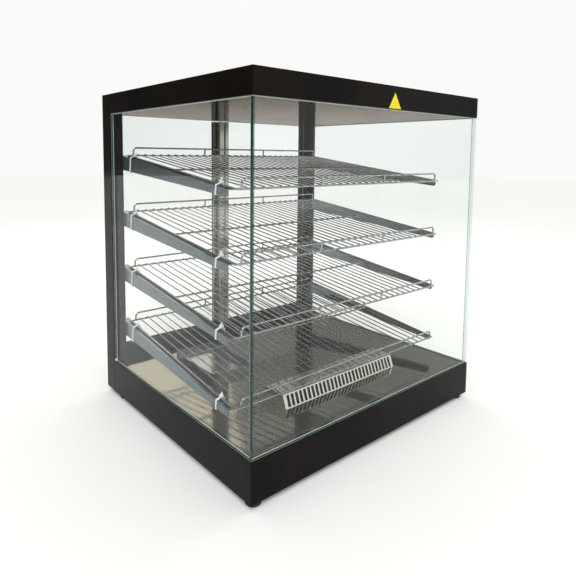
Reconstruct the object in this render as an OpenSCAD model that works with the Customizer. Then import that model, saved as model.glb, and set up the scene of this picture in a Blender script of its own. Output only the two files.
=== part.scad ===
// Countertop hot food display case: a glazed cabinet on a heated base, with sloping
// wire shelves on cantilever brackets and two sliding glass doors at the rear.
// Origin: centre of the footprint, on the surface the feet stand on. The customer side faces -Y.

/* [Case] */
// Width over the base and canopy
body_w = 660; // [600:10:720]
// Depth over the base and the rear columns
body_d = 596; // [596:2:640]
// Height from the bottom of the base to the top of the canopy
body_h = 714; // [714:2:760]
// Height of the base
base_h = 75; // [72:1:90]
// Height of the canopy
canopy_h = 45; // [44:1:60]
// Thickness of folded sheet metal
sheet_t = 1.5; // [1:0.1:2]
// Thickness of the fixed glass panes
glass_t = 6; // [5:0.5:6]

/* [Feet] */
// Height of each rubber foot
foot_h = 12; // [8:1:20]
// Radius of each rubber foot
foot_r = 15; // [12:1:16]

/* [Rear frame] */
// Width of each rear column
column_w = 30; // [28:1:32]
// Depth of each rear column
column_d = 46; // [44:1:48]
// Height of the door sill above the floor of the cabinet
sill_h = 25; // [22:1:30]

/* [Shelves] */
// Height of the lowest bracket tip above the surface the case stands on
shelf_z = 134; // [130:1:138]
// Rise from one shelf to the next
shelf_pitch = 131.5; // [130:0.5:133]
// Forward slope of the shelves, in degrees
shelf_slope = 7.2; // [6:0.1:8]
// Length of a bracket from the column to its tip
bracket_l = 458; // [450:1:462]
// Spacing of the shelf wires
wire_pitch = 20; // [18:1:24]
// Diameter of the shelf wires
wire_d = 2.6; // [2.4:0.1:3]
// Diameter of the wires that frame a shelf
frame_wire_d = 4; // [4:0.2:4.4]

/* [Hot air cover] */
// Length of the slotted cover
cover_l = 338; // [300:2:360]
// Height of the slotted cover above the cabinet floor
cover_h = 26; // [20:1:28]

/* [Hidden] */
SHELVES = [1:4];

$fn = 48;
eps = 0.01;
// Gap between neighbouring sheet parts
gap = 0.3;

// Distance of the foot centres from the outer faces, and the bore for their screws
foot_inset = 20;
foot_bore_r = 2.6;
foot_screw_z = 5;

// Outer faces of the case
x_side = body_w / 2;
y_front = -body_d / 2;
y_rear = body_d / 2;
z_base = foot_h;
z_floor = foot_h + base_h;
z_top = foot_h + body_h;
z_canopy = z_top - canopy_h;
// Front of the rear columns, and half of the door opening
y_column = y_rear - column_d;
x_open = x_side - column_w;

// Glazing: panes stand just inside the outer faces, on a gasket
glass_inset = 1;
gasket_t = 1;
x_glass = x_side - glass_inset - glass_t;
y_glass = y_front + glass_inset + glass_t;
z_glass = z_floor + gasket_t;
glass_h = z_canopy - z_floor - 2 * gasket_t;
lip_w = 14;
plate_t = 1;

// Rear frame: the front of the sill and header, and the two door tracks
y_sill = y_rear - 36;
track_w = 9;
track_inner_y = y_sill + 5;
track_outer_y = y_sill + 21;
track_floor = 3;
header_track_h = 25;

// Doors: the outer door closes the left half, the inner door closes the right half
door_glass_t = 5;
door_gap = 1;
stile_w = 30;
stile_t = 11;
stile_inner_x = -18;
stile_outer_x = -28;
stile_clear = 2;
stile_lap = 9;
door_z_low = z_floor + track_floor + 4;
door_z_high = z_canopy + header_track_h - 8;
grip_w = 8;
grip_depth = 3.8;

// Brackets and shelves
y_tip = y_column - bracket_l;
web_x = x_side - 18;
flange_w = 16;
web_rear_h = 34;
web_front_h = 12;
hook_h = 7;
hook_pitch = shelf_pitch / 5;
hook_drop = 3;
slot_w = 2.4;
slot_h = 10.5;
slot_count = 21;
deck_front = -10;
deck_rear = 430;
deck_half_w = x_side - 26;
rail_half_w = x_side - 40;
rail_h = 20;
rail_bend_r = 8;
tie_ys = [38, 392];

// Control panel, recessed under the sill so that nothing stands out of the case
y_panel = y_rear - 20;
z_controls = z_base + 38;
knob_x = 150;
rocker_x = 215;
lamp_xs = [70, 95];
lamp_r = 4;
stem_hole_r = 5;
gland_x = -240;
gland_r = 8;
louvre_x = -60;
louvre_pitch = 12;
panel_screw_z = z_base + 12;
panel_screw_r = 2.05;
rocker_half_w = 5.1;
rocker_r = 10.4;
// Seesaw rocker, resting in its off position; its ends are arcs about the pivot
rocker_tilt = 10;
rocker_pivot_y = y_panel - 4;
switch_half = [7, 12];
terminal_x = -190;

// Blower under the slotted cover
cover_front_y = y_front + 100;
cover_lean = 10;
cover_depth = 65;
wheel_r = 18;
wheel_l = 240;
wheel_y = -148;
wheel_z = z_base + 36;
scroll_r = 24;
scroll_wall = 1.2;
outlet_back = 8;
outlet_front = 26;
shaft_r = 3;
running = 0.05;

// Heating rods in the outlet of the blower
rod_r = 3.2;
rod_ys = [wheel_y - 22, wheel_y - 12];
rod_z = z_floor - 12;

// Water tray
tray_x = -208;
tray_y = 0;
tray_w = 108;
tray_d = 180;
tray_h = 15;
tray_corner = 14;

// Plain triangular label in a shallow recess on the front of the canopy
triangle_x = 20;
triangle_w = 38;
triangle_h = 31;
triangle_t = 0.3;

paint = [0.035, 0.032, 0.03];
steel = [0.72, 0.73, 0.74];
chrome = [0.8, 0.81, 0.82];
clear = [0.75, 0.9, 0.86, 0.35];
white = [0.93, 0.93, 0.91];

// A box from its lowest corner to its highest corner
module block(low, high) {
    translate(low) cube(high - low);
}

// A profile drawn in (y, z), extruded along X from x0 to x1
module along_x(x0, x1) {
    translate([x0, 0, 0]) rotate([90, 0, 90]) linear_extrude(x1 - x0) children();
}

// Children, and their mirror image across the middle of the case
module both_sides() {
    children();
    mirror([1, 0, 0]) children();
}

// Straight wires with flat ends
module wire_x(x0, x1, y, z, d) {
    translate([x0, y, z]) rotate([0, 90, 0]) cylinder(h = x1 - x0, d = d);
}

module wire_y(x, y0, y1, z, d) {
    translate([x, y0, z]) rotate([-90, 0, 0]) cylinder(h = y1 - y0, d = d);
}

// A round bar or hole along Y, pointing backwards from y0
module pin_y(x, y0, y1, z, r) {
    translate([x, y0, z]) rotate([-90, 0, 0]) cylinder(h = y1 - y0, r = r);
}

module wire_z(x, y, z0, z1, d) {
    translate([x, y, z0]) cylinder(h = z1 - z0, d = d);
}

// A rectangle with round corners, as exact arcs
module round_rect(x0, y0, w, d, r) {
    translate([x0 + r, y0]) square([w - 2 * r, d]);
    translate([x0, y0 + r]) square([w, d - 2 * r]);
    for (cx = [x0 + r, x0 + w - r], cy = [y0 + r, y0 + d - r])
        translate([cx, cy]) circle(r);
}

// ---- Base ----

module base_shell() {
    color(paint) {
        difference() {
            block([-x_side, y_front, z_base], [x_side, y_column - gap, z_floor]);
            block([-x_side + sheet_t, y_front + sheet_t, z_base - 1],
                  [x_side - sheet_t, y_rear, z_floor + 1]);
        }
        // Inward lip that carries the floor plate and the panes
        difference() {
            block([-x_side + eps, y_front + eps, z_floor - plate_t - sheet_t],
                  [x_side - eps, y_column - gap, z_floor - plate_t]);
            block([-x_side + lip_w, y_front + lip_w, z_base], [x_side - lip_w, y_rear, z_top]);
        }
    }
}

// Places of the four feet
function foot_places() = [for (x = [-x_side + foot_inset, x_side - foot_inset],
                              y = [y_front + foot_inset, y_column - foot_inset]) [x, y]];

module base_bottom() {
    vent_w = 5;
    vent_l = 60;
    vent_pitch = 14;
    color(steel) difference() {
        union() {
            block([-x_side + sheet_t + gap, y_front + sheet_t + gap, z_base],
                  [x_side - sheet_t - gap, y_column - gap, z_base + sheet_t]);
            block([-x_open + gap, y_column - 2 * gap, z_base],
                  [x_open - gap, y_panel - sheet_t - gap, z_base + sheet_t]);
        }
        for (p = foot_places()) translate([p[0], p[1], z_base - 1]) cylinder(h = 4, r = foot_bore_r);
        for (i = [-6:6]) translate([i * vent_pitch, wheel_y, z_base])
            block([-vent_w / 2, -vent_l / 2, -1], [vent_w / 2, vent_l / 2, sheet_t + 1]);
    }
}

module rear_panel() {
    back = y_panel - sheet_t - 1;
    front = y_panel + 1;
    louvre_w = 4;
    louvre_h = 30;
    color(paint) difference() {
        union() {
            block([-x_open + gap, y_panel - sheet_t, z_base], [x_open - gap, y_panel, z_floor]);
            block([-x_open + gap, y_sill + gap, z_floor - sheet_t],
                  [x_open - gap, y_panel - sheet_t + eps, z_floor]);
        }
        pin_y(knob_x, back, front, z_controls, stem_hole_r);
        translate([rocker_x, 0, z_controls])
            block([-switch_half[0] - 0.2, back, -switch_half[1] - 0.2],
                  [switch_half[0] + 0.2, front, switch_half[1] + 0.2]);
        for (x = lamp_xs) pin_y(x, back, front, z_controls, lamp_r + 0.1);
        pin_y(gland_x, back, front, z_controls, gland_r + 0.1);
        for (x = panel_screw_xs()) pin_y(x, back, front, panel_screw_z, panel_screw_r + 0.05);
        for (i = [-7:7]) translate([louvre_x + i * louvre_pitch, 0, z_base + 26])
            block([-louvre_w / 2, back, 0], [louvre_w / 2, front, louvre_h]);
    }
}

function panel_screw_xs() = [-x_open + 20, -x_open / 3, x_open / 3, x_open - 20];

module panel_screws() {
    color(steel) for (x = panel_screw_xs()) translate([x, y_panel, panel_screw_z]) {
        rotate([90, 0, 0]) cylinder(h = 9, r = panel_screw_r);
        // Cross-headed
        difference() {
            rotate([-90, 0, 0]) cylinder(h = 2.2, r1 = 3.9, r2 = 2.8);
            for (a = [0, 90]) rotate([0, a, 0]) block([-0.5, 1.2, -2.4], [0.5, 3, 2.4]);
        }
    }
}

// Tapered rubber feet, each with a recess for its screw
module feet() {
    recess_r = 5.6;
    color([0.05, 0.05, 0.05]) for (p = foot_places()) translate([p[0], p[1], 0])
        rotate_extrude() difference() {
            polygon([[0, 0], [foot_r - 2, 0], [foot_r - 1, 1], [foot_r, foot_h], [0, foot_h]]);
            square([foot_bore_r, foot_h + 1]);
            translate([0, -1]) square([recess_r, foot_screw_z + 1]);
        }
}

module foot_screws() {
    head_r = 4.6;
    head_h = 2.4;
    color(steel) for (p = foot_places()) translate([p[0], p[1], foot_screw_z]) {
        rotate([180, 0, 0]) difference() {
            cylinder(h = head_h, r = head_r);
            translate([0, 0, head_h / 2]) cube([6, 1, 3], center = true);
        }
        translate([0, 0, -eps]) cylinder(h = foot_h + 4 - foot_screw_z, r = foot_bore_r - 0.1);
    }
}

module floor_plate() {
    color(steel) difference() {
        union() {
            block([-x_side + sheet_t + gap, y_front + sheet_t + gap, z_floor - plate_t],
                  [x_side - sheet_t - gap, y_column - gap, z_floor]);
            block([-x_open + gap, y_column - 2 * gap, z_floor - plate_t], [x_open - gap, y_sill, z_floor]);
        }
        // Warm air comes up at the front of the cover and goes back down behind it
        block([-wheel_l / 2, wheel_y - outlet_front, z_base], [wheel_l / 2, wheel_y - outlet_back, z_top]);
        block([-wheel_l / 2, wheel_y + 4, z_base], [wheel_l / 2, wheel_y + 12, z_top]);
    }
}

// Folded cover with a leaning, slotted front and a return slot at the back
module hot_air_cover() {
    wall = 1.2;
    slots = 29;
    slot_pitch = cover_l / (slots + 1);
    slot_size = [slot_pitch * 0.64, 8, cover_h * 0.9];
    front = cover_front_y;
    rear = cover_front_y + cover_depth;
    top = z_floor + cover_h;
    lean = atan(cover_lean / cover_h);
    color(steel) difference() {
        along_x(-cover_l / 2, cover_l / 2)
            polygon([[front, z_floor], [front + cover_lean, top], [rear, top], [rear, z_floor]]);
        along_x(-cover_l / 2 + wall, cover_l / 2 - wall)
            polygon([[front + wall, z_floor - eps], [front + cover_lean + wall, top - wall],
                     [rear - wall, top - wall], [rear - wall, z_floor - eps]]);
        for (i = [1:slots])
            translate([-cover_l / 2 + i * slot_pitch, front + cover_lean / 2, z_floor + cover_h / 2])
                rotate([-lean, 0, 0]) cube(slot_size, center = true);
        block([-wheel_l / 2, rear - 3, z_floor + 5], [wheel_l / 2, rear + 3, z_floor + 15]);
    }
}

// ---- Rear frame ----

// The left column: a closed box section with a row of hook slots in its front face
module column() {
    // The lowest slot is one below the lower hook of the lowest bracket
    slots_low = shelf_z + bracket_l * tan(shelf_slope) - web_rear_h + 0.5 - hook_pitch;
    slot_x = -web_x + (sheet_t - slot_w) / 2;
    color(paint) difference() {
        block([-x_side, y_column, z_base], [-x_open, y_rear, z_top]);
        block([-x_side + sheet_t, y_column + sheet_t, z_base + sheet_t],
              [-x_open - sheet_t, y_rear - sheet_t, z_top - sheet_t]);
        for (k = [0:slot_count - 1]) translate([slot_x, y_column - 1, slots_low + k * hook_pitch])
            cube([slot_w, sheet_t + 2, slot_h]);
    }
}

module column_left() {
    column();
}

module column_right() {
    mirror([1, 0, 0]) column();
}

module rear_sill() {
    color(paint) along_x(-x_open + gap, x_open - gap) difference() {
        translate([y_sill, z_floor]) square([y_rear - y_sill, sill_h]);
        translate([track_inner_y, z_floor + track_floor]) square([track_w, sill_h]);
        translate([track_outer_y, z_floor + track_floor]) square([track_w, sill_h]);
    }
}

module rear_header() {
    wall = 2;
    z_track = z_canopy + header_track_h;
    color(paint) along_x(-x_open + gap, x_open - gap) difference() {
        translate([y_column + gap, z_canopy]) square([y_rear - y_column - gap, canopy_h]);
        translate([track_inner_y, z_canopy - 1]) square([track_w, header_track_h + 1]);
        translate([track_outer_y, z_canopy - 1]) square([track_w, header_track_h + 1]);
        translate([y_column + gap + wall, z_track + wall])
            square([y_rear - y_column - gap - 2 * wall, canopy_h - header_track_h - 2 * wall]);
        translate([y_column + gap + wall, z_canopy + wall])
            square([track_inner_y - y_column - gap - 2 * wall, header_track_h - wall]);
    }
}

module canopy_shell() {
    color(paint) difference() {
        block([-x_side, y_front, z_canopy], [x_side, y_column - gap, z_top]);
        block([-x_side + sheet_t, y_front + sheet_t, z_canopy + sheet_t],
              [x_side - sheet_t, y_column - gap - sheet_t, z_top - sheet_t]);
        block([-x_side + lip_w, y_front + lip_w, z_canopy - 1],
              [x_side - lip_w, y_column - lip_w, z_top - 5]);
        along_y_front() triangle_outline();
    }
}

module ceiling_plate() {
    color(steel) {
        block([-x_glass + gap, y_glass + gap, z_canopy - plate_t], [x_glass - gap, y_column - gap, z_canopy]);
        block([-x_open + gap, y_column - 2 * gap, z_canopy - plate_t], [x_open - gap, y_sill, z_canopy]);
    }
}

// ---- Plain triangular label ----

module triangle_outline() {
    polygon([[triangle_x - triangle_w / 2, z_canopy + 1], [triangle_x + triangle_w / 2, z_canopy + 1],
             [triangle_x, z_canopy + 1 + triangle_h]]);
}

// A profile drawn in (x, z), set triangle_t into the front face
module along_y_front() {
    translate([0, y_front + triangle_t, 0]) rotate([90, 0, 0]) linear_extrude(triangle_t + eps) children();
}

module triangle_label() {
    color([0.95, 0.8, 0.05]) translate([0, y_front + triangle_t, 0]) rotate([90, 0, 0])
        linear_extrude(triangle_t) triangle_outline();
}

// ---- Glazing ----

module glass_front() {
    color(clear) block([-x_side + glass_inset, y_front + glass_inset, z_glass],
                       [x_side - glass_inset, y_glass, z_glass + glass_h]);
}

module side_pane() {
    color(clear) block([-x_side + glass_inset, y_glass + gap, z_glass],
                       [-x_glass, y_column - gap, z_glass + glass_h]);
}

module glass_left() {
    side_pane();
}

module glass_right() {
    mirror([1, 0, 0]) side_pane();
}

// Silicone strip that the three panes stand on or meet at the top
module gasket(z) {
    color([0.86, 0.9, 0.9]) difference() {
        block([-x_side + glass_inset, y_front + glass_inset, z],
              [x_side - glass_inset, y_column - gap, z + gasket_t]);
        block([-x_glass, y_glass, z - 1], [x_glass, y_rear, z + gasket_t + 1]);
    }
}

module gasket_bottom() {
    gasket(z_floor);
}

module gasket_top() {
    gasket(z_canopy - gasket_t);
}

// Silicone fillets in the two glass corners
module corner_beads() {
    bead = 2.4;
    color([0.8, 0.86, 0.85]) both_sides() translate([-x_glass, y_glass, z_glass])
        linear_extrude(glass_h) difference() {
            square(bead);
            translate([bead, bead]) circle(bead - 0.2);
        }
}

// ---- Shelves ----

// Puts children in a shelf's own frame: tip of the bracket at the origin, +Y back up the slope
module shelf_frame(i) {
    translate([0, y_tip, shelf_z + (i - 1) * shelf_pitch]) rotate([shelf_slope, 0, 0]) children();
}

// The bracket for the left side: a tapered web, a flange on top and two hooks at the column
module bracket(i) {
    rise = bracket_l * tan(shelf_slope);
    z_tip = shelf_z + (i - 1) * shelf_pitch;
    tip_r = web_front_h / 2;
    hook_low = rise - web_rear_h + 0.5;
    color(chrome) {
        translate([0, y_tip, z_tip]) along_x(-web_x, -web_x + sheet_t) {
            polygon([[tip_r + 2, -0.2], [bracket_l, rise - 0.2], [bracket_l, rise - web_rear_h],
                     [tip_r + 2, -0.2 - web_front_h]]);
            translate([tip_r + 2, -0.2 - tip_r]) circle(tip_r);
            for (z = [hook_low, hook_low + hook_pitch]) {
                translate([bracket_l - 2, z + 0.05]) square([sheet_t + 4, hook_h]);
                translate([bracket_l + sheet_t + 0.3, z - hook_drop]) square([2.4, hook_h + hook_drop]);
            }
        }
        shelf_frame(i) block([-web_x, 3, -sheet_t], [-web_x + flange_w, bracket_l - 4, 0]);
    }
}

// The four frame wires, the middle wire, and the deck wires on top of them
module shelf_deck(i) {
    r = frame_wire_d / 2;
    side = deck_half_w - r;
    front = deck_front + r;
    rear = deck_rear - r;
    middle = (front + rear) / 2;
    z_wire = frame_wire_d + wire_d / 2 - 0.5;
    count = floor((side - wire_pitch * 0.8) / wire_pitch);
    color(chrome) shelf_frame(i) {
        for (y = [front, middle, rear]) wire_x(-side, side, y, r, frame_wire_d);
        for (x = [-side, side]) wire_y(x, front, rear, r, frame_wire_d);
        for (x = [-side, side], y = [front, rear]) translate([x, y, r]) sphere(r);
        for (k = [-count:count]) wire_y(k * wire_pitch, deck_front, deck_rear, z_wire, wire_d);
    }
}

// One guard rail: a wire with bent-down ends and two posts, standing on a frame wire
module guard_rail(y) {
    r = frame_wire_d / 2;
    end = rail_half_w;
    bend = rail_bend_r;
    difference() {
        union() {
            wire_x(-end + bend, end - bend, y, rail_h, frame_wire_d);
            for (x = [-end, end]) wire_z(x, y, r, rail_h - bend, frame_wire_d);
            for (x = [-end / 3 + 1, end / 3 - 1]) wire_z(x, y, r, rail_h, frame_wire_d);
            both_sides() translate([end - bend, y, rail_h - bend]) rotate([90, 0, 0])
                rotate_extrude(angle = 90) translate([bend, 0]) circle(r);
        }
        // The rail meets the frame wire it stands on, without sharing its metal
        wire_x(-end - 9, end + 9, y, r, frame_wire_d + 0.04);
    }
}

module shelf_rails(i) {
    r = frame_wire_d / 2;
    color(chrome) shelf_frame(i) {
        guard_rail(deck_front + r);
        guard_rail(deck_rear - r);
    }
}

// Loop of a tie, drawn in the shelf's own (x, z), grown outwards by g
module tie_loop(g, web_h) {
    wire_x0 = -deck_half_w;
    polygon([[-web_x - g, -web_h - g], [-web_x + sheet_t + g, -web_h - g],
             [-web_x + flange_w + g, -sheet_t - g], [-web_x + flange_w + g, g],
             [wire_x0 + frame_wire_d - 0.6 + g, frame_wire_d + g],
             [wire_x0 + 0.6 - g, frame_wire_d + g], [-web_x - g, 1 + g]]);
}

module tie(y, web_h) {
    thick = 1.2;
    wide = 3.6;
    slack = 0.25;
    translate([0, y + wide / 2, 0]) rotate([90, 0, 0]) linear_extrude(wide) difference() {
        tie_loop(slack + thick, web_h);
        tie_loop(slack, web_h);
    }
    // Head of the tie, on top of the side wire
    block([-deck_half_w - 0.5, y - 3, frame_wire_d + slack + thick - 0.1],
          [-deck_half_w + 5, y + 3, frame_wire_d + slack + thick + 3.6]);
}

module shelf_ties() {
    // Depth of the web below its flange at the two places where a tie goes round it
    function web_depth(y) = web_front_h + (web_rear_h - web_front_h) * y / bracket_l;
    color(white) for (i = SHELVES, y = tie_ys) shelf_frame(i) tie(y, web_depth(y) + 1);
}

// ---- Heating ----

// Outline of the scroll and its outlet, in (y, z) about the shaft
module scroll_outline() {
    circle(scroll_r);
    translate([-outlet_front - scroll_wall, 0])
        square([outlet_front - outlet_back + 2 * scroll_wall, z_floor - plate_t - wheel_z]);
}

module blower_scroll() {
    plate = 1.5;
    color(steel) {
        along_x(-wheel_l / 2, wheel_l / 2) translate([wheel_y, wheel_z]) difference() {
            scroll_outline();
            circle(scroll_r - scroll_wall);
            translate([-outlet_front, -1]) square([outlet_front - outlet_back, z_floor - wheel_z]);
            // Intake, facing back and down
            translate([4, -40]) square([40, 40]);
        }
        for (x = [-wheel_l / 2 - plate, wheel_l / 2]) difference() {
            along_x(x, x + plate) translate([wheel_y, wheel_z]) scroll_outline();
            wire_x(x - 1, x + plate + 1, wheel_y, wheel_z, 2 * (shaft_r + running));
            if (x > 0) for (y = rod_ys) wire_x(x - 1, x + plate + 1, y, rod_z, 2 * rod_r + 0.3);
        }
    }
}

module blower_wheel() {
    blades = 20;
    disc = 1.5;
    half = wheel_l / 2 - 2;
    color([0.6, 0.62, 0.64]) {
        for (x = [-half, 0, half - disc]) wire_x(x, x + disc, wheel_y, wheel_z, 2 * wheel_r);
        wire_x(-wheel_l / 2 - 6, wheel_l / 2 + 12, wheel_y, wheel_z, 2 * shaft_r);
        for (k = [0:blades - 1]) translate([0, wheel_y, wheel_z]) rotate([k * 360 / blades, 0, 0])
            translate([0, 0, wheel_r - 4]) rotate([35, 0, 0])
                block([-half, -0.4, -3], [half, 0.4, 3]);
    }
}

module blower_motor() {
    x0 = wheel_l / 2 + 4;
    motor_l = 46;
    motor_r = 22;
    saddle_h = 14;
    color([0.35, 0.36, 0.38]) difference() {
        union() {
            wire_x(x0, x0 + motor_l, wheel_y, wheel_z, 2 * motor_r);
            block([x0 + 6, wheel_y - motor_r - 2, z_base + sheet_t],
                  [x0 + motor_l - 6, wheel_y + motor_r + 2, z_base + sheet_t + saddle_h]);
        }
        wire_x(x0 - 1, x0 + 10, wheel_y, wheel_z, 2 * (shaft_r + running));
        // Cooling grooves round the body
        for (k = [0:7]) translate([0, wheel_y, wheel_z]) rotate([k * 45, 0, 0])
            block([x0 + 12, -1.5, motor_r - 2.5], [x0 + motor_l - 8, 1.5, motor_r + 2]);
    }
}

// A U-shaped tubular element in the outlet, its cold ends outside the scroll
module heater_element() {
    bend = (rod_ys[1] - rod_ys[0]) / 2;
    x_bend = -wheel_l / 2 + 14;
    x_cold = wheel_l / 2 + 22;
    color([0.3, 0.28, 0.27]) {
        for (y = rod_ys) {
            wire_x(x_bend, x_cold, y, rod_z, 2 * rod_r);
            wire_x(x_cold - eps, x_cold + 10, y, rod_z, rod_r);
        }
        translate([x_bend, rod_ys[0] + bend, rod_z]) rotate([0, 0, 90])
            rotate_extrude(angle = 180) translate([bend, 0]) circle(rod_r);
    }
}

// ---- Controls ----

module thermostat_body() {
    front = y_panel - sheet_t - gap;
    color([0.85, 0.83, 0.78]) difference() {
        block([knob_x - 19, front - 30, z_controls - 16], [knob_x + 19, front, z_controls + 16]);
        pin_y(knob_x, y_panel - 18, y_panel, z_controls, shaft_r + running);
    }
}

module dial_plate() {
    color([0.82, 0.83, 0.84]) difference() {
        pin_y(knob_x, y_panel, y_panel + 0.8, z_controls, 24);
        pin_y(knob_x, y_panel - 1, y_panel + 2, z_controls, stem_hole_r);
    }
}

module thermostat_knob() {
    knob_r = 15;
    skirt_h = 3;
    grip_h = 12;
    flutes = 18;
    y0 = y_panel + 1.4;
    y_grip = y0 + skirt_h;
    color([0.06, 0.06, 0.06]) translate([knob_x, 0, z_controls]) {
        difference() {
            union() {
                pin_y(0, y0, y_grip, 0, knob_r + 2);
                translate([0, y_grip - eps, 0]) rotate([-90, 0, 0])
                    cylinder(h = grip_h, r1 = knob_r, r2 = knob_r - 1.5);
            }
            for (k = [0:flutes - 1]) rotate([0, k * 360 / flutes, 0])
                pin_y(knob_r + 0.6, y_grip + 2, y_grip + grip_h + 2, 0, 1.6);
            // Pointer groove
            block([-0.8, y_grip + grip_h - 1, 4], [0.8, y_grip + grip_h + 1, knob_r + 1]);
        }
        pin_y(0, y_panel - 15, y0 + 1, 0, shaft_r);
    }
}

module switch_housing() {
    half = switch_half;
    color([0.05, 0.05, 0.05]) translate([rocker_x, y_panel, z_controls]) difference() {
        union() {
            block([-half[0], -22, -half[1]], [half[0], 1, half[1]]);
            block([-half[0] - 2.5, eps, -half[1] - 2.5], [half[0] + 2.5, 1.8, half[1] + 2.5]);
        }
        block([-half[0] + 1.5, -12, -half[1] + 1], [half[0] - 1.5, 3, half[1] - 1]);
    }
}

module power_rocker() {
    color([0.1, 0.45, 0.12]) translate([0, rocker_pivot_y, z_controls]) rotate([-rocker_tilt, 0, 0])
        along_x(rocker_x - rocker_half_w, rocker_x + rocker_half_w) intersection() {
            circle(rocker_r);
            polygon([[-2.5, -10.5], [-2.5, 10.5], [7.6, 10.5], [5.6, 0], [7.6, -10.5]]);
        }
}

module indicator_lamps() {
    rim_r = 6;
    rim_h = 1.4;
    color([0.9, 0.5, 0.1]) for (x = lamp_xs) translate([x, y_panel, z_controls]) {
        pin_y(0, -14, 0, 0, lamp_r);
        pin_y(0, 0, rim_h, 0, rim_r);
        // Domed lens
        intersection() {
            translate([0, -2.2, 0]) sphere(rim_r);
            block([-rim_r, rim_h - eps, -rim_r], [rim_r, 8, rim_r]);
        }
    }
}

module cable_gland() {
    nut_h = 6;
    cap_r = 9;
    cord_r = 4;
    color([0.08, 0.08, 0.08]) translate([gland_x, y_panel, z_controls]) difference() {
        union() {
            pin_y(0, -10, 0, 0, gland_r);
            rotate([-90, 0, 0]) cylinder(h = nut_h, r = 11, $fn = 6);
            pin_y(0, nut_h - eps, 2 * nut_h - eps, 0, cap_r);
            translate([0, 2 * nut_h - 2 * eps, 0]) rotate([-90, 0, 0]) cylinder(h = 4, r1 = cap_r, r2 = 6.5);
        }
        pin_y(0, -11, 17, 0, cord_r);
    }
}

module terminal_block() {
    ways = 4;
    pitch = 12;
    depth = 24;
    height = 16;
    color([0.9, 0.88, 0.82]) translate([terminal_x, y_panel - 70, z_base + sheet_t]) difference() {
        cube([ways * pitch, depth, height]);
        for (k = [0:ways - 1], y = [depth / 4, depth * 3 / 4])
            translate([(k + 0.5) * pitch, y, 6]) cylinder(h = height, r = 3);
    }
}

// ---- Sliding doors ----

// The meeting stile of a door: a bar that holds the glass edge and has a finger channel on each face
module stile(x0, track_y, glass_on_left) {
    y_mid = track_y + track_w / 2;
    z0 = z_floor + sill_h + stile_clear;
    z1 = z_canopy - plate_t - stile_clear;
    glass_x = glass_on_left ? x0 - 1 : x0 + stile_w - stile_lap;
    grip_x = x0 + stile_w / 2 - grip_w / 2;
    color(steel) translate([0, 0, z0]) linear_extrude(z1 - z0) difference() {
        translate([x0, y_mid - stile_t / 2]) square([stile_w, stile_t]);
        translate([glass_x, y_mid - door_glass_t / 2]) square([stile_lap + 1, door_glass_t]);
        translate([grip_x, y_mid - stile_t / 2 - 1]) square([grip_w, grip_depth + 1]);
        translate([grip_x, y_mid + stile_t / 2 - grip_depth]) square([grip_w, grip_depth + 1]);
    }
}

// The door's pane, from the bottom rail to the top rail
module door_glass(x0, x1, track_y) {
    y_mid = track_y + track_w / 2;
    color(clear) block([x0, y_mid - door_glass_t / 2, door_z_low],
                       [x1, y_mid + door_glass_t / 2, door_z_high]);
}

// Two nylon runners that hold the glass edges and slide in the sill and the header
module door_rails(x0, x1, track_y) {
    wide = track_w - 1.2;
    y_mid = track_y + track_w / 2;
    z_low = z_floor + track_floor + 0.4;
    color([0.3, 0.3, 0.3]) difference() {
        union() {
            block([x0, y_mid - wide / 2, z_low], [x1, y_mid + wide / 2, z_low + 14]);
            block([x0, y_mid - wide / 2, door_z_high - 12], [x1, y_mid + wide / 2, door_z_high + 4]);
        }
        block([x0 - 1, y_mid - door_glass_t / 2, door_z_low],
              [x1 + 1, y_mid + door_glass_t / 2, door_z_high]);
    }
}

module door_glass_left() {
    door_glass(-x_open + door_gap, stile_outer_x + stile_lap, track_outer_y);
}

module door_stile_left() {
    stile(stile_outer_x, track_outer_y, true);
}

module door_rails_left() {
    door_rails(-x_open + door_gap, stile_outer_x + stile_lap, track_outer_y);
}

module door_glass_right() {
    door_glass(stile_inner_x + stile_w - stile_lap, x_open - door_gap, track_inner_y);
}

module door_stile_right() {
    stile(stile_inner_x, track_inner_y, false);
}

module door_rails_right() {
    door_rails(stile_inner_x + stile_w - stile_lap, x_open - door_gap, track_inner_y);
}

// ---- Water tray, standing on the cabinet floor ----

module water_tray() {
    wall = 1;
    color(steel) translate([0, 0, z_floor + 0.1]) difference() {
        linear_extrude(tray_h) round_rect(tray_x, tray_y, tray_w, tray_d, tray_corner);
        translate([0, 0, wall]) linear_extrude(tray_h)
            round_rect(tray_x + wall, tray_y + wall, tray_w - 2 * wall, tray_d - 2 * wall,
                       tray_corner - wall);
    }
}

base_shell();
base_bottom();
rear_panel();
feet();
foot_screws();
floor_plate();
hot_air_cover();
column_left();
column_right();
rear_sill();
rear_header();
canopy_shell();
ceiling_plate();
glass_front();
glass_left();
glass_right();
gasket_bottom();
gasket_top();
corner_beads();
triangle_label();
for (i = SHELVES) {
    bracket(i);
    mirror([1, 0, 0]) bracket(i);
    shelf_deck(i);
    shelf_rails(i);
}
shelf_ties();
blower_scroll();
blower_motor();
blower_wheel();
heater_element();
thermostat_body();
thermostat_knob();
dial_plate();
switch_housing();
power_rocker();
indicator_lamps();
cable_gland();
terminal_block();
panel_screws();
door_glass_left();
door_stile_left();
door_rails_left();
door_glass_right();
door_stile_right();
door_rails_right();
water_tray();
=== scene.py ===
"""Countertop hot food display case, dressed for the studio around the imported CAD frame."""

import math
import random

import bmesh
import bpy
from mathutils import Matrix, Vector


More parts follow.
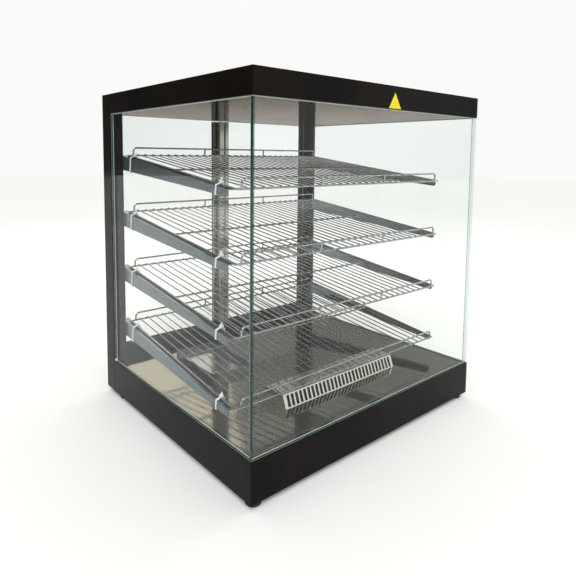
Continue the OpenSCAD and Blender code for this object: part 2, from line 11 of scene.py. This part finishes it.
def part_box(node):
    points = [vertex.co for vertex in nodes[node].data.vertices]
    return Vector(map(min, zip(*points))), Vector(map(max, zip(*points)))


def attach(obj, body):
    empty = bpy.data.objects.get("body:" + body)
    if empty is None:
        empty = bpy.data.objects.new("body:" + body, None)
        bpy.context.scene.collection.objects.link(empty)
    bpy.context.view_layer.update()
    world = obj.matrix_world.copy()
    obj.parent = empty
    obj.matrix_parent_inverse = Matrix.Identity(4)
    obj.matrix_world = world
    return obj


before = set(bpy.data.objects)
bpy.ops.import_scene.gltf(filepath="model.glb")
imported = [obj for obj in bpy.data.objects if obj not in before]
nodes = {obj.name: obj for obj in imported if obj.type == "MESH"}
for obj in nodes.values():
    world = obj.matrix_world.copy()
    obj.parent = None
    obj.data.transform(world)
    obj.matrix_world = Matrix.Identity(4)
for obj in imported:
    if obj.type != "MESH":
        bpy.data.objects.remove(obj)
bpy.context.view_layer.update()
scene = bpy.context.scene
rng = random.Random(41)

SHELVES = range(1, 5)
X, Y, Z = range(3)


# ---------------------------------------------------------------- camera
CAMERA_PLACE = (-0.81901, -0.94862, 0.58764)
CAMERA_YAW, CAMERA_PITCH, CAMERA_ROLL = (math.radians(v) for v in (40.865, 5.022, 0.603))
CAMERA_LENS, CAMERA_SHIFT_Y = 32.67, -0.15


def make_camera():
    data = bpy.data.cameras.new("camera")
    cam = bpy.data.objects.new("camera", data)
    scene.collection.objects.link(cam)
    turn = (Matrix.Rotation(-CAMERA_YAW, 4, "Z") @ Matrix.Rotation(math.pi / 2 - CAMERA_PITCH, 4, "X")
            @ Matrix.Rotation(CAMERA_ROLL, 4, "Z"))
    cam.matrix_world = Matrix.Translation(CAMERA_PLACE) @ turn
    data.sensor_width = 36
    data.lens = CAMERA_LENS
    data.shift_y = CAMERA_SHIFT_Y
    data.clip_start, data.clip_end = 0.02, 60
    scene.camera = cam


make_camera()


# ---------------------------------------------------------------- node helpers
class Tree:
    """A small builder for shader nodes."""

    # Sockets of the Mix node when it mixes colours
    COLOR_A, COLOR_B, COLOR_RESULT = 6, 7, 2

    def __init__(self, name, color):
        self.mat = bpy.data.materials.new(name)
        self.mat.use_nodes = True
        self.mat.diffuse_color = (*color, 1)
        self.nt = self.mat.node_tree
        self.nt.nodes.clear()
        self.out = self.nt.nodes.new("ShaderNodeOutputMaterial")
        self.coord = self.nt.nodes.new("ShaderNodeTexCoord").outputs["Object"]

    def node(self, kind, inputs=None, **props):
        n = self.nt.nodes.new("ShaderNode" + kind)
        for k, v in props.items():
            setattr(n, k, v)
        for k, v in (inputs or {}).items():
            self.put(n.inputs[k], v)
        return n

    def put(self, socket, value):
        """Link a socket, or set a value: one number fills a vector, and a colour gets its alpha."""
        if isinstance(value, bpy.types.NodeSocket):
            self.nt.links.new(value, socket)
            return
        size = len(socket.default_value) if hasattr(socket.default_value, "__len__") else 0
        if size and not hasattr(value, "__len__"):
            value = [value] * size
        elif size == 4 and len(value) == 3:
            value = (*value, 1)
        socket.default_value = value

    def stretched(self, scale):
        return self.node("Mapping", {"Vector": self.coord, "Scale": scale}).outputs["Vector"]

    def noise(self, scale, detail=4, rough=0.6, stretch=None, distortion=0.0):
        v = self.stretched(stretch) if stretch else self.coord
        return self.node("TexNoise", {"Vector": v, "Scale": scale, "Detail": detail, "Roughness": rough,
                                      "Distortion": distortion}).outputs["Fac"]

    def ramp(self, fac, stops):
        n = self.node("ValToRGB", {"Fac": fac})
        el = n.color_ramp.elements
        while len(el) < len(stops):
            el.new(0.5)
        for e, (pos, v) in zip(el, stops):
            e.position = pos
            e.color = (v, v, v, 1)
        return n.outputs["Color"]

    def math(self, op, a, b=0.0, c=0.0):
        n = self.node("Math", operation=op)
        for i, v in enumerate((a, b, c)):
            self.put(n.inputs[i], v)
        return n.outputs[0]

    def span(self, fac, lo, hi, from_lo=0.0, from_hi=1.0):
        return self.node("MapRange", {"Value": fac, "From Min": from_lo, "From Max": from_hi,
                                      "To Min": lo, "To Max": hi}).outputs["Result"]

    def mix(self, fac, a, b, blend="MIX"):
        n = self.node("Mix", data_type="RGBA", blend_type=blend)
        self.put(n.inputs["Factor"], fac)
        self.put(n.inputs[self.COLOR_A], a)
        self.put(n.inputs[self.COLOR_B], b)
        return n.outputs[self.COLOR_RESULT]

    def blend(self, fac, a, b):
        return self.node("MixShader", {0: fac, 1: a, 2: b}).outputs[0]

    def split(self, vector):
        return self.node("SeparateXYZ", {"Vector": vector}).outputs

    def bump(self, height, strength, distance, normal=None):
        ins = {"Height": height, "Strength": strength, "Distance": distance}
        if normal is not None:
            ins["Normal"] = normal
        return self.node("Bump", ins).outputs["Normal"]

    def principled(self, **inputs):
        n = self.node("BsdfPrincipled")
        for k, v in inputs.items():
            self.put(n.inputs[k.replace("_", " ")], v)
        return n.outputs["BSDF"]

    def done(self, surface):
        self.nt.links.new(surface, self.out.inputs["Surface"])
        return self.mat


# ---------------------------------------------------------------- materials
def gloss_enamel(name, deep, warm):
    """Stoved enamel: a faint orange peel, polished unevenly, with a little dust."""
    t = Tree(name, deep)
    cloud = t.noise(5, 5, 0.55)
    peel = t.noise(900, 2, 0.5)
    dust = t.ramp(t.noise(240, 6, 0.75), [(0.62, 0.0), (0.86, 1.0)])
    color = t.mix(t.span(cloud, 0, 1, 0.35, 0.65), deep, warm)
    color = t.mix(t.math("MULTIPLY", dust, 0.04), color, (0.35, 0.32, 0.29))
    rough = t.math("ADD", t.span(cloud, 0.06, 0.13, 0.3, 0.7), t.math("MULTIPLY", dust, 0.10))
    wave = t.noise(16, 2, 0.4)
    normal = t.bump(wave, 0.10, 0.002, t.bump(peel, 0.04, 0.0002))
    return t.done(t.principled(Base_Color=color, Roughness=rough, Normal=normal, IOR=1.18))


GRAIN_ACROSS, GRAIN_ALONG = 260, 3


def sheet_steel(name, tone, rough_lo, rough_hi, along, wave, streak, edge=(1, 1, 1)):
    """Rolled stainless sheet: fine brushing along one axis, long waves, and faint wipe marks."""
    t = Tree(name, tone)
    grain_scale = [GRAIN_ACROSS] * 3
    grain_scale[along] = GRAIN_ALONG
    grain = t.noise(1, 3, 0.7, stretch=grain_scale)
    wipes = t.noise(14, 4, 0.6, stretch=(1, 1.6, 1), distortion=1.2)
    tint = t.mix(t.span(wipes, 0, 1, 0.3, 0.7), [c * 0.86 for c in tone], tone)
    tint = t.mix(t.math("MULTIPLY", grain, 0.25), tint, [c * 0.72 for c in tone])
    rough = t.math("ADD", t.span(wipes, rough_lo, rough_hi, 0.3, 0.7), t.math("MULTIPLY", grain, 0.06))
    normal = t.bump(grain, streak, 0.0003)
    normal = t.bump(t.noise(9, 2, 0.5), wave, 0.004, normal)
    return t.done(t.principled(Base_Color=tint, Metallic=1.0, Roughness=rough, Normal=normal,
                               Specular_Tint=edge))


def plated_wire(name):
    """Plated drawn wire, darker in patches where the plating has dulled."""
    t = Tree(name, (0.8, 0.8, 0.8))
    dull = t.noise(60, 4, 0.6)
    draw = t.noise(700, 2, 0.5)
    color = t.mix(t.span(dull, 0, 1, 0.35, 0.7), (0.46, 0.47, 0.48), (0.27, 0.28, 0.29))
    rough = t.span(dull, 0.04, 0.14, 0.3, 0.7)
    return t.done(t.principled(Base_Color=color, Metallic=1.0, Roughness=rough,
                               Normal=t.bump(draw, 0.08, 0.0002)))


def spangled_zinc(name):
    """Galvanised sheet with its crystal cells."""
    t = Tree(name, (0.5, 0.5, 0.5))
    cells = t.node("TexVoronoi", {"Vector": t.coord, "Scale": 90}).outputs["Color"]
    tone = t.mix(0.25, (0.46, 0.47, 0.47), cells, "SOFT_LIGHT")
    rough = t.span(t.noise(40, 3, 0.6), 0.32, 0.55, 0.3, 0.7)
    return t.done(t.principled(Base_Color=tone, Metallic=1.0, Roughness=rough,
                               Normal=t.bump(t.noise(300, 3), 0.08, 0.0004)))


def plastic(name, color, rough, grain=500, strength=0.12, worn=0.15):
    """Moulded plastic or rubber, grained, and a little paler where it is worn."""
    t = Tree(name, color)
    patch = t.noise(30, 4, 0.6)
    tone = t.mix(t.span(patch, 0, worn, 0.4, 0.75), color, [min(1, c * 1.5 + 0.02) for c in color])
    r = t.span(patch, rough * 0.8, min(1, rough * 1.25), 0.3, 0.7)
    return t.done(t.principled(Base_Color=tone, Roughness=r,
                               Normal=t.bump(t.noise(grain, 3), strength, 0.0003)))


# How nearly a normal has to lie along an axis to belong to a flat face, and not to a bevelled arris
SQUARE = 0.97
# The glass corner at the front left lies beyond both of these
CORNER_X, CORNER_Y = -0.3, -0.25
# The inner arrises of the front pane lie behind this
INNER_ARRIS_Y = -0.2925


def pane(name, big_axis, end_shade_color=None):
    """Float glass: clear faces, nearly clear ends, arrises painted bright as a highlight, and a front left
    corner painted deep green as shade.
    """
    t = Tree(name, (0.8, 0.9, 0.88))
    facing = t.node("NewGeometry").outputs["True Normal"]
    along = [t.math("ABSOLUTE", v) for v in t.split(facing)]
    squarest = t.math("MAXIMUM", t.math("MAXIMUM", along[X], along[Y]), along[Z])
    on_face = t.math("GREATER_THAN", along[big_axis], SQUARE)
    arris = t.math("LESS_THAN", squarest, SQUARE)
    smear = t.ramp(t.noise(7, 6, 0.7, stretch=(1, 1, 0.45), distortion=0.8), [(0.52, 0.0), (0.8, 1.0)])
    specks = t.ramp(t.noise(420, 3, 0.8), [(0.72, 0.0), (0.82, 1.0)])
    haze = t.math("ADD", t.math("MULTIPLY", smear, 0.008), t.math("MULTIPLY", specks, 0.02))
    graze = t.node("LayerWeight", {"Blend": 0.5}).outputs["Facing"]
    mirror = t.math("MULTIPLY_ADD", t.math("POWER", graze, 5.0), 0.96, 0.04)
    clear = t.node("BsdfTransparent", {"Color": (0.985, 0.996, 0.990)}).outputs[0]
    gloss = t.node("BsdfGlossy", {"Color": (0.95, 0.97, 0.97), "Roughness": 0.01}).outputs[0]
    film = t.node("BsdfDiffuse", {"Color": (0.80, 0.81, 0.80)}).outputs[0]
    sheet = t.blend(t.math("MULTIPLY", mirror, 0.5), clear, gloss)
    sheet = t.blend(haze, sheet, film)
    ground = t.noise(260, 3, 0.6)
    at = t.split(t.coord)
    corner = t.math("LESS_THAN", at["X"], CORNER_X)
    corner = t.math("MULTIPLY", corner, t.math("LESS_THAN", at["Y"], CORNER_Y))
    corner = t.math("MULTIPLY", corner, t.math("LESS_THAN", along[Z], 0.2))
    # Ends keep the glass's own green tint; arrises get a paler colour, a painted highlight.
    rim_tint_and_painted_light = t.mix(ground, (0.20, 0.27, 0.26), (0.40, 0.50, 0.48))
    rim_tint_and_painted_light = t.mix(arris, rim_tint_and_painted_light, t.mix(ground, (0.42, 0.58, 0.55), (0.60, 0.76, 0.73)))
    away = t.math("SUBTRACT", 1.0, corner)
    seen = t.math("MAXIMUM", t.math("MULTIPLY", t.math("MULTIPLY", arris, 0.85), away), 0.18)
    # At the front left corner the ends and outer arrises are painted deep green: the glass's own green,
    # darkened as painted shade.
    if end_shade_color:
        inner = t.math("MULTIPLY", arris, t.math("GREATER_THAN", at["Y"], INNER_ARRIS_Y))
        deep = t.math("MULTIPLY", corner, t.math("SUBTRACT", 1.0, inner))
        rim_tint_and_painted_light = t.mix(deep, rim_tint_and_painted_light, t.mix(ground, [c * 0.6 for c in end_shade_color], end_shade_color))
        seen = t.math("MAXIMUM", seen, corner)
    rim = t.principled(Base_Color=rim_tint_and_painted_light, Roughness=t.span(ground, 0.12, 0.3, 0.3, 0.7))
    return t.done(t.blend(on_face, t.blend(seen, clear, rim), sheet))


def silicone(name, color, opacity, painted_shade_color=None):
    """Sealant, part clear; the second colour, when given, is painted on the left half of the case as shade.
    """
    t = Tree(name, color)
    lump = t.noise(120, 3, 0.6)
    if painted_shade_color:
        # Painted shade: the left half of the case takes the darker colour.
        left = t.math("LESS_THAN", t.split(t.coord)["X"], 0.0)
        color = t.mix(left, color, painted_shade_color)
    body = t.principled(Base_Color=color, Roughness=t.span(lump, 0.22, 0.42, 0.3, 0.7),
                        Normal=t.bump(lump, 0.35, 0.0006))
    clear = t.node("BsdfTransparent", {"Color": (0.9, 0.97, 0.94)}).outputs[0]
    return t.done(t.blend(t.span(lump, opacity - 0.12, opacity + 0.12), clear, body))


M = {
    "black_paint": gloss_enamel("black_paint", (0.0024, 0.0020, 0.0017), (0.0078, 0.0052, 0.0038)),
    # The floor plate's dark olive tone is a painted reflection: the plate is darkened to the olive-brown it
    # shows mirroring the case above it.
    "floor_steel": sheet_steel("floor_steel", (0.28, 0.27, 0.23), 0.03, 0.07, X, 0.16, 0.012),
    # The ceiling plate's dark brown tone and edge tint are painted shade: the steel is darkened to look as it
    # does under the canopy.
    "ceiling_steel": sheet_steel("ceiling_steel", (0.150, 0.118, 0.075), 0.04, 0.09, X, 0.10, 0.012,
                                 edge=(0.13, 0.06, 0.0)),
    "cover_steel": sheet_steel("cover_steel", (0.78, 0.765, 0.72), 0.12, 0.22, X, 0.03, 0.015),
    "stile_steel": sheet_steel("stile_steel", (0.50, 0.49, 0.465), 0.05, 0.12, Z, 0.08, 0.02),
    "bracket_steel": sheet_steel("bracket_steel", (0.165, 0.195, 0.215), 0.10, 0.20, Y, 0.05, 0.012),
    "tray_steel": sheet_steel("tray_steel", (0.40, 0.41, 0.42), 0.12, 0.22, Y, 0.05, 0.015),
    "chrome": plated_wire("chrome"),
    "zinc": spangled_zinc("zinc"),
    # The third value is the deep green painted as shade at the front pane's front left corner.
    "pane_y": pane("pane_front", Y, (0.003, 0.040, 0.034)),
    "pane_x": pane("pane_side", X),
    "pane_door": pane("pane_door", Y),
    "silicone": silicone("silicone", (0.78, 0.84, 0.82), 0.85),
    "silicone_dark": silicone("silicone_dark", (0.05, 0.06, 0.06), 0.85),
    "bead": silicone("bead", (0.50, 0.66, 0.60), 0.45, painted_shade_color=(0.004, 0.03, 0.027)),
    "nylon": plastic("nylon", (0.86, 0.86, 0.84), 0.38, 300, 0.1, 0.1),
    "black_plastic": plastic("black_plastic", (0.018, 0.018, 0.019), 0.42, 900, 0.25, 0.25),
    "cream_plastic": plastic("cream_plastic", (0.70, 0.66, 0.56), 0.45),
    "rocker_green": plastic("rocker_green", (0.02, 0.25, 0.05), 0.18, 400, 0.05),
    "lamp_amber": plastic("lamp_amber", (0.80, 0.30, 0.03), 0.15, 400, 0.05),
    "yellow_vinyl": plastic("yellow_vinyl", (0.86, 0.66, 0.015), 0.32, 200, 0.05, 0.08),
    "rubber": plastic("rubber", (0.02, 0.02, 0.02), 0.75, 700, 0.5, 0.3),
    # Matt black: the dial's printed ticks, and the painted shade behind the cover's slots.
    "matt_black_and_shade": plastic("matt_black_and_shade", (0.002, 0.002, 0.002), 0.9, 400, 0.2, 0.02),
    "element": plastic("element", (0.10, 0.085, 0.075), 0.6, 500, 0.4),
}

LOOKS = {
    "black_paint": ["base_shell", "canopy_shell", "column_left", "column_right", "rear_sill", "rear_header",
                    "rear_panel"],
    "floor_steel": ["floor_plate"],
    "ceiling_steel": ["ceiling_plate"],
    "cover_steel": ["hot_air_cover"],
    "stile_steel": ["door_stile_left", "door_stile_right", "dial_plate"],
    "bracket_steel": [f"bracket_{s}_{i}" for s in ("left", "right") for i in SHELVES],
    "tray_steel": ["water_tray"],
    "chrome": [f"shelf_deck_{i}" for i in SHELVES] + [f"shelf_rails_{i}" for i in SHELVES] + ["panel_screws"],
    "zinc": ["base_bottom", "foot_screws", "blower_scroll", "blower_motor", "blower_wheel"],
    "pane_y": ["glass_front"],
    "pane_x": ["glass_left", "glass_right"],
    "pane_door": ["door_glass_left", "door_glass_right"],
    "silicone_dark": ["gasket_bottom", "gasket_top"],
    "bead": ["corner_beads"],
    "nylon": ["shelf_ties"],
    "black_plastic": ["thermostat_knob", "switch_housing", "cable_gland", "door_rails_left",
                      "door_rails_right"],
    "cream_plastic": ["thermostat_body", "terminal_block"],
    "rocker_green": ["power_rocker"],
    "lamp_amber": ["indicator_lamps"],
    "yellow_vinyl": ["triangle_label"],
    "rubber": ["feet"],
    "element": ["heater_element"],
}
for look, names in LOOKS.items():
    for n in names:
        nodes[n].data.materials.clear()
        nodes[n].data.materials.append(M[look])


# ---------------------------------------------------------------- softened edges on sheet parts and glass
EDGE_WIDTHS = {
    0.0009: ["base_shell", "canopy_shell", "glass_front", "glass_left", "glass_right"],
    0.0006: ["column_left", "column_right", "rear_sill", "rear_header", "door_stile_left",
             "door_stile_right"],
    0.0005: ["door_glass_left", "door_glass_right"],
}
EDGE_SEGMENTS = 2
# Edges that turn less than this stay as they are
EDGE_ANGLE = math.radians(40)
WELD_DISTANCE = 0.00001


def soften(name, width):
    """Join the split vertices of the mesh, then round its sharp edges."""
    weld = nodes[name].modifiers.new("weld", "WELD")
    weld.merge_threshold = WELD_DISTANCE
    bevel = nodes[name].modifiers.new("bevel", "BEVEL")
    bevel.width = width
    bevel.segments = EDGE_SEGMENTS
    bevel.limit_method = "ANGLE"
    bevel.angle_limit = EDGE_ANGLE


for width, names in EDGE_WIDTHS.items():
    for n in names:
        soften(n, width)


# ---------------------------------------------------------------- pieces that ride on the case
def piece(name, bm, look, body="case"):
    mesh = bpy.data.meshes.new(name)
    bm.to_mesh(mesh)
    bm.free()
    o = bpy.data.objects.new(name, mesh)
    scene.collection.objects.link(o)
    mesh.materials.append(M[look])
    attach(o, body)


def smooth(bm):
    for f in bm.faces:
        f.smooth = True


def box_into(bm, lo, hi, turn=None):
    lo, hi = Vector(lo), Vector(hi)
    m = Matrix.Translation((lo + hi) / 2) @ Matrix.Diagonal((*(hi - lo), 1))
    if turn is not None:
        m = turn @ m
    bmesh.ops.create_cube(bm, size=1, matrix=m)


# Frame of one shelf: tip of its brackets at the origin, +Y back up the slope
Y_TIP, Z_TIP, PITCH, SLOPE = -0.206, 0.134, 0.1315, math.radians(7.2)
DECK_FRONT, DECK_REAR, FRAME_WIRE_R = -0.010, 0.430, 0.002
# Deck wires stand at this pitch, so many to each side of the middle one, and their welds at this height
WIRE_PITCH, WIRES_A_SIDE, WIRE_R, WELD_Z = 0.020, 14, 0.0013, 0.0038
TIE_X, TIE_HEAD_Z, TIE_ROWS = -0.3022, 0.0090, (0.038, 0.392)


def shelf_turn(i):
    return Matrix.Translation((0, Y_TIP, Z_TIP + PITCH * (i - 1))) @ Matrix.Rotation(SLOPE, 4, "X")


def weld_beads():
    """A small flattened bead where each deck wire is welded to a cross wire."""
    for i in SHELVES:
        bm = bmesh.new()
        for row in (DECK_FRONT + FRAME_WIRE_R, (DECK_FRONT + DECK_REAR) / 2, DECK_REAR - FRAME_WIRE_R):
            for k in range(-WIRES_A_SIDE, WIRES_A_SIDE + 1):
                for side in (-1, 1):
                    place = Vector((k * WIRE_PITCH + side * WIRE_R, row, WELD_Z))
                    size = (rng.uniform(0.0009, 0.0014), rng.uniform(0.0014, 0.0021),
                            rng.uniform(0.0007, 0.0011))
                    m = shelf_turn(i) @ Matrix.Translation(place) @ Matrix.Diagonal((*size, 1))
                    bmesh.ops.create_icosphere(bm, subdivisions=1, radius=1, matrix=m)
        smooth(bm)
        piece(f"weld_beads_{i}", bm, "chrome")


def tie_tails():
    """The short cut end of each tie, and the block of its head."""
    bm = bmesh.new()
    for i in SHELVES:
        for y in TIE_ROWS:
            lean = math.radians(rng.uniform(-14, 14))
            length = rng.uniform(0.004, 0.008)
            turn = (shelf_turn(i) @ Matrix.Translation((TIE_X, y, TIE_HEAD_Z))
                    @ Matrix.Rotation(lean, 4, "Y") @ Matrix.Rotation(lean * 0.6, 4, "X"))
            box_into(bm, (-0.0005, -0.0017, -0.001), (0.0005, 0.0017, length), turn)
            box_into(bm, (-0.0021, -0.0024, -0.0006), (0.0021, 0.0024, 0.0006), turn)
    piece("tie_tails", bm, "nylon")


def cover_slot_shade():
    """A matt black sheet behind the slots of the hot air cover: painted shade, so that the slots read as
    openings.
    """
    end_gap, foot_gap, top_gap = 0.002, 0.0004, 0.0016
    front, back = 0.013, 0.0145
    bm = bmesh.new()
    lo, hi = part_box("hot_air_cover")
    box_into(bm, (lo[X] + end_gap, lo[Y] + front, lo[Z] + foot_gap),
             (hi[X] - end_gap, lo[Y] + back, hi[Z] - top_gap))
    piece("cover_slot_shade", bm, "matt_black_and_shade")


def silicone_dabs():
    """A blob of sealant at the foot of each side pane's rear corner."""
    side_x = 0.3265
    lo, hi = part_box("glass_left")
    bm = bmesh.new()
    for side in (-1, 1):
        place = Vector((side * side_x, hi[Y] - 0.0012, lo[Z] + 0.0022))
        size = (rng.uniform(0.0028, 0.0032), rng.uniform(0.003, 0.004), rng.uniform(0.0028, 0.0036))
        bmesh.ops.create_icosphere(bm, subdivisions=3, radius=1,
                                   matrix=Matrix.Translation(place) @ Matrix.Diagonal((*size, 1)))
    smooth(bm)
    piece("silicone_dabs", bm, "silicone")


def dial_ticks():
    """Marks round the thermostat dial, with every third one longer and wider."""
    ticks, step, half_depth, outer = 19, math.radians(15), 0.0001, 0.0228
    lo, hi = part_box("dial_plate")
    cx, cz = (lo[X] + hi[X]) / 2, (lo[Z] + hi[Z]) / 2
    bm = bmesh.new()
    for k in range(ticks):
        turn = Matrix.Translation((cx, hi[Y], cz)) @ Matrix.Rotation(step * k, 4, "Y")
        inner, half_width = (0.0185, 0.0006) if k % 3 == 0 else (0.0200, 0.0003)
        box_into(bm, (-half_width, -half_depth, inner), (half_width, half_depth, outer), turn)
    piece("dial_ticks", bm, "matt_black_and_shade")


weld_beads()
tie_tails()
cover_slot_shade()
silicone_dabs()
dial_ticks()


# ---------------------------------------------------------------- studio
def lamp_turn(source):
    """The turn of a lamp that stands towards source and shines back."""
    return source.to_track_quat("Z", "Y").to_matrix().to_4x4()


def area(name, place, aim, size, power, color=(1, 1, 1)):
    data = bpy.data.lights.new(name, "AREA")
    data.shape = "RECTANGLE"
    data.size, data.size_y = size
    data.energy = power
    data.color = color
    o = bpy.data.objects.new(name, data)
    scene.collection.objects.link(o)
    o.visible_camera = False
    o.matrix_world = Matrix.Translation(place) @ lamp_turn(Vector(place) - Vector(aim))


def sun(name, source, spread, power):
    """A soft sun; spread is its angle in degrees."""
    data = bpy.data.lights.new(name, "SUN")
    data.angle = math.radians(spread)
    data.energy = power
    o = bpy.data.objects.new(name, data)
    scene.collection.objects.link(o)
    o.matrix_world = lamp_turn(Vector(source))


def studio():
    """Pale floor, surroundings and lamps."""
    floor = bpy.data.meshes.new("floor")
    bm = bmesh.new()
    bmesh.ops.create_circle(bm, cap_ends=True, segments=96, radius=14)
    bm.to_mesh(floor)
    bm.free()
    o = bpy.data.objects.new("floor", floor)
    scene.collection.objects.link(o)
    t = Tree("floor_paint", (0.9, 0.9, 0.9))
    mottle = t.noise(3, 4, 0.6)
    floor.materials.append(t.done(t.principled(
        Base_Color=t.mix(mottle, (0.86, 0.86, 0.855), (0.90, 0.90, 0.895)), Roughness=0.85)))
    sky()
    sun("sun", (-1.0, -1.3, 1.7), 26, 1.3)
    area("key", (-2.4, -2.2, 2.6), (0, 0, 0.35), (1.2, 1.2), 14)
    area("top", (0.3, 0.3, 3.0), (0, 0, 0.4), (2.0, 2.0), 10)
    area("side", (3.0, -0.6, 1.5), (0, 0, 0.4), (0.8, 1.8), 9)
    area("back", (0.6, 3.0, 1.8), (0, 0, 0.4), (2.4, 1.2), 11, (1.0, 0.86, 0.71))


# Brightness of the surroundings by height, from straight down (0) over the horizon (0.5) to straight up (1)
SKY_STOPS = [(0.0, 0.30), (0.47, 0.14), (0.56, 0.10), (0.68, 0.32), (0.80, 0.88), (1.0, 1.05)]
SKY_TINT = (1.0, 0.985, 0.96)
# A soft bright patch low on the customer side, which the leaning cover reflects
PATCH_TOWARD, PATCH_COLOR, PATCH_STRENGTH = (0.67, -0.73, 0.13), (1.0, 0.97, 0.90, 1), 0.85
PATCH_RIM, PATCH_CORE = 0.90, 0.995
BACKDROP = (0.955, 0.955, 0.95, 1)


def sky():
    """Soft surroundings: a bright ceiling over dimmer walls, a bright patch, and white behind the object."""
    world = bpy.data.worlds.new("world")
    scene.world = world
    world.use_nodes = True
    nt = world.node_tree
    nt.nodes.clear()
    new = nt.nodes.new
    coord = new("ShaderNodeTexCoord")
    parts = new("ShaderNodeSeparateXYZ")
    nt.links.new(coord.outputs["Generated"], parts.inputs[0])
    ramp = new("ShaderNodeValToRGB")
    lift = new("ShaderNodeMapRange")
    lift.inputs["From Min"].default_value = -1
    nt.links.new(parts.outputs["Z"], lift.inputs["Value"])
    nt.links.new(lift.outputs["Result"], ramp.inputs["Fac"])
    el = ramp.color_ramp.elements
    while len(el) < len(SKY_STOPS):
        el.new(0.5)
    for e, (pos, v) in zip(el, SKY_STOPS):
        e.position = pos
        e.color = (*(v * c for c in SKY_TINT), 1)
    walls = new("ShaderNodeBackground")
    nt.links.new(ramp.outputs["Color"], walls.inputs["Color"])
    toward = new("ShaderNodeVectorMath")
    toward.operation = "DOT_PRODUCT"
    toward.inputs[1].default_value = PATCH_TOWARD
    nt.links.new(coord.outputs["Generated"], toward.inputs[0])
    lobe = new("ShaderNodeMapRange")
    lobe.interpolation_type = "SMOOTHSTEP"
    lobe.inputs["From Min"].default_value = PATCH_RIM
    lobe.inputs["From Max"].default_value = PATCH_CORE
    lobe.inputs["To Max"].default_value = PATCH_STRENGTH
    nt.links.new(toward.outputs["Value"], lobe.inputs["Value"])
    patch = new("ShaderNodeBackground")
    patch.inputs["Color"].default_value = PATCH_COLOR
    nt.links.new(lobe.outputs["Result"], patch.inputs["Strength"])
    both = new("ShaderNodeAddShader")
    nt.links.new(walls.outputs[0], both.inputs[0])
    nt.links.new(patch.outputs[0], both.inputs[1])
    white = new("ShaderNodeBackground")
    white.inputs["Color"].default_value = BACKDROP
    path = new("ShaderNodeLightPath")
    mix = new("ShaderNodeMixShader")
    nt.links.new(path.outputs["Is Camera Ray"], mix.inputs[0])
    nt.links.new(both.outputs[0], mix.inputs[1])
    nt.links.new(white.outputs[0], mix.inputs[2])
    out = new("ShaderNodeOutputWorld")
    nt.links.new(mix.outputs[0], out.inputs["Surface"])


studio()
scene.view_settings.view_transform = "Standard"
